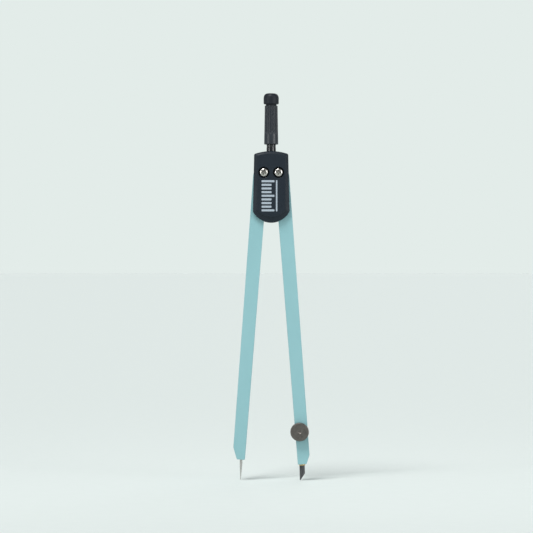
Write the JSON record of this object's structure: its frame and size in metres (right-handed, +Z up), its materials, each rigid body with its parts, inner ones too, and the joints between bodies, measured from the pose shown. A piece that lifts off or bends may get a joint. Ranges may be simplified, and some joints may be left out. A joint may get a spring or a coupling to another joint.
{
  "type": "drawing compass",
  "caption": "Drawing compass with two flat legs geared together in a two-shell head, a fluted grip, a needle point, and a lead clamped by a knurled thumb screw.",
  "frame": {"origin": "on the paper, midway between the two legs and in the middle plane of their thickness, below the head's centre", "axes": "+Z up along the grip, -Y the front of the head with the pivot screw heads and the thumb screw, -X the needle leg, +X the lead leg"},
  "size_m": [0.0286, 0.0096, 0.145],
  "materials": {
    "mint_paint": "satin",
    "black_plastic": "fine spark-eroded",
    "black_gloss": "polished",
    "nickel": "nickel plated",
    "steel": "ground",
    "brass": "turned",
    "nylon": "natural",
    "graphite": "sheen"
  },
  "bodies": {
    "head": {"front_cover": "black_plastic", "rear_cover": "black_plastic", "handle_stem": "black_gloss", "grip_sleeve": "black_plastic", "grip_cap": "black_plastic", "left_pivot_screw": "nickel", "right_pivot_screw": "nickel", "left_pivot_nut": "nickel", "right_pivot_nut": "nickel", "left_front_washer": "nylon", "left_rear_washer": "nylon", "right_front_washer": "nylon", "right_rear_washer": "nylon"},
    "lead_leg": {"lead_leg": "mint_paint", "lead_collet": "brass"},
    "needle_leg": {"needle_leg": "mint_paint", "needle": "steel", "needle_grub_screw": "nickel"},
    "lead": {"lead": "graphite"},
    "clamp_washer": {"thumb_screw_washer": "steel"},
    "thumb_screw": {"thumb_screw": "nickel"}
  },
  "joints": [
    {"name": "lead_leg_hinge", "type": "hinge", "parent": "head", "child": "lead_leg", "pos_m": [0.00275, 0, 0.1152], "axis": [0, -1, 0], "range_deg": [-5, 45]},
    {"name": "needle_leg_hinge", "type": "hinge", "parent": "head", "child": "needle_leg", "pos_m": [-0.00275, 0, 0.1152], "axis": [0, -1, 0], "range_deg": [-45, 5]},
    {"name": "clamp_washer_slide", "type": "slide", "parent": "lead_leg", "child": "clamp_washer", "axis": [0, -1, 0], "range_m": [0, 0.0009]},
    {"name": "thumb_screw_turn", "type": "hinge", "parent": "clamp_washer", "child": "thumb_screw", "pos_m": [0.01063, 0, 0.01822], "axis": [0, -1, 0], "range_deg": [0, 720]},
    {"name": "lead_slide", "type": "slide", "parent": "lead_leg", "child": "lead", "axis": [0.0323, 0, -0.9995], "range_m": [0, 0.007]}
  ],
  "couplings": [
    {"joint": "needle_leg_hinge", "follows": "lead_leg_hinge", "ratio": -1},
    {"joint": "thumb_screw_turn", "follows": "clamp_washer_slide", "rad_per_m": 13963}
  ]
}
